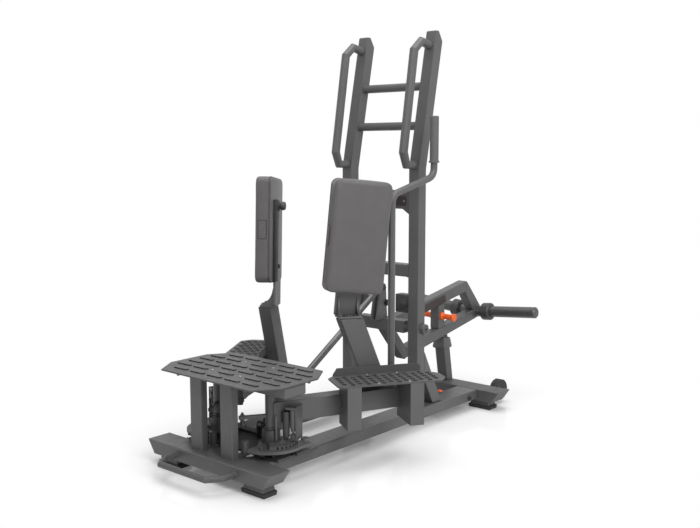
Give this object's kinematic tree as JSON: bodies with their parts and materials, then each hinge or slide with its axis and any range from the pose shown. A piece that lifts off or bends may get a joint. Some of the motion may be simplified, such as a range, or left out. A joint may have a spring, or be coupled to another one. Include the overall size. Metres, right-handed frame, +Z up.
{
  "type": "standing hip abductor machine",
  "caption": "Standing hip abductor machine with splayed pivoting foot levers, side leg pads, ladder uprights and a plate-loaded weight arm.",
  "frame": {"origin": "on the floor under the middle of the whole machine's bounding box", "axes": "+Z up, +Y to the rear where the loading horns are, +X to the user's right when facing the uprights"},
  "size_m": [1.046, 1.8004, 1.6],
  "materials": {
    "coated_steel": "satin powder coat",
    "plain_steel": "satin",
    "horn_sleeve": "satin",
    "black_rubber": "matte",
    "tread_plate": "textured satin",
    "pad_cover": "matte stitched cover",
    "orange_plastic": "satin"
  },
  "bodies": {
    "frame": {"front_crossbar": "coated_steel", "rear_crossbar": "coated_steel", "rail_left": "coated_steel", "rail_right": "coated_steel", "lift_handle": "coated_steel", "front_post_left": "coated_steel", "front_post_right": "coated_steel", "platform_channel": "coated_steel", "pivot_base": "coated_steel", "upright_left": "coated_steel", "upright_right": "coated_steel", "rung_upper": "coated_steel", "rung_lower": "coated_steel", "grab_handle_left": "coated_steel", "grab_handle_right": "coated_steel", "sign_plate": "coated_steel", "cross_tube": "coated_steel", "brace_left": "coated_steel", "brace_right": "coated_steel", "weight_axle": "coated_steel", "rear_post": "coated_steel", "platform_plate": "tread_plate", "foot_front_left": "black_rubber", "foot_front_right": "black_rubber", "foot_rear_left": "black_rubber", "foot_rear_right": "black_rubber", "rest_buffer": "black_rubber"},
    "wheel_left": {"wheel_left": "black_rubber"},
    "wheel_right": {"wheel_right": "black_rubber"},
    "weight_arm": {"rocker": "coated_steel", "weight_arm_upper": "coated_steel", "weight_arm_lower": "coated_steel", "weight_arm_tail": "coated_steel", "weight_arm_strut": "coated_steel", "weight_arm_front": "coated_steel", "horn_left": "horn_sleeve", "horn_right": "horn_sleeve", "horn_stop_left": "black_rubber", "horn_stop_right": "black_rubber", "band_peg_left": "orange_plastic", "band_peg_right": "orange_plastic"},
    "fan_left": {"fan_left": "coated_steel"},
    "fan_right": {"fan_right": "coated_steel"},
    "yoke": {"draw_yoke": "coated_steel"},
    "link_rod": {"link_rod": "plain_steel"},
    "lever_left": {"lever_arm_left": "coated_steel", "foot_plate_left": "tread_plate", "pad_bracket_left": "coated_steel", "pad_left": "pad_cover", "pad_knob_left": "black_rubber"},
    "lever_right": {"lever_arm_right": "coated_steel", "foot_plate_right": "tread_plate", "pad_bracket_right": "coated_steel", "pad_right": "pad_cover", "pad_knob_right": "black_rubber", "assist_handle": "coated_steel", "assist_grip": "black_rubber"},
    "lock_pin_left": {"lock_pin_left": "plain_steel"},
    "lock_pin_right": {"lock_pin_right": "plain_steel"}
  },
  "joints": [
    {"name": "weight_arm_lift", "type": "hinge", "parent": "frame", "child": "weight_arm", "pos_m": [0, 0.18665, 0.414], "axis": [1, 0, 0], "range_deg": [0, 14.5]},
    {"name": "yoke_draw", "type": "slide", "parent": "frame", "child": "yoke", "axis": [0, -1, 0], "range_m": [0, 0.04479]},
    {"name": "rod_swing", "type": "hinge", "parent": "yoke", "child": "link_rod", "pos_m": [0, -0.51735, 0.137], "axis": [1, 0, 0], "range_deg": [-0.9, 0]},
    {"name": "fan_swing_left", "type": "hinge", "parent": "frame", "child": "fan_left", "pos_m": [-0.135, -0.60535, 0.125], "axis": [0, 0, 1], "range_deg": [0, 25.1]},
    {"name": "lever_index_left", "type": "hinge", "parent": "fan_left", "child": "lever_left", "pos_m": [-0.135, -0.60535, 0.2], "axis": [0, 0, 1], "range_deg": [0, 49]},
    {"name": "lock_pin_pull_left", "type": "slide", "parent": "lever_left", "child": "lock_pin_left", "axis": [0, 0, 1], "range_m": [-0.01, 0]},
    {"name": "wheel_spin_left", "type": "hinge", "parent": "frame", "child": "wheel_left", "pos_m": [-0.229, 0.72465, 0.063], "axis": [1, 0, 0], "continuous": true},
    {"name": "fan_swing_right", "type": "hinge", "parent": "frame", "child": "fan_right", "pos_m": [0.135, -0.60535, 0.125], "axis": [0, 0, -1], "range_deg": [0, 25.1]},
    {"name": "lever_index_right", "type": "hinge", "parent": "fan_right", "child": "lever_right", "pos_m": [0.135, -0.60535, 0.2], "axis": [0, 0, -1], "range_deg": [0, 49]},
    {"name": "lock_pin_pull_right", "type": "slide", "parent": "lever_right", "child": "lock_pin_right", "axis": [0, 0, 1], "range_m": [-0.01, 0]},
    {"name": "wheel_spin_right", "type": "hinge", "parent": "frame", "child": "wheel_right", "pos_m": [0.229, 0.72465, 0.063], "axis": [1, 0, 0], "continuous": true}
  ],
  "couplings": [
    {"joint": "yoke_draw", "follows": "weight_arm_lift", "m_per_rad": 0.17618},
    {"joint": "rod_swing", "follows": "weight_arm_lift", "ratio": -0.059},
    {"joint": "fan_swing_left", "follows": "weight_arm_lift", "ratio": 1.7241},
    {"joint": "fan_swing_right", "follows": "weight_arm_lift", "ratio": 1.7241}
  ]
}
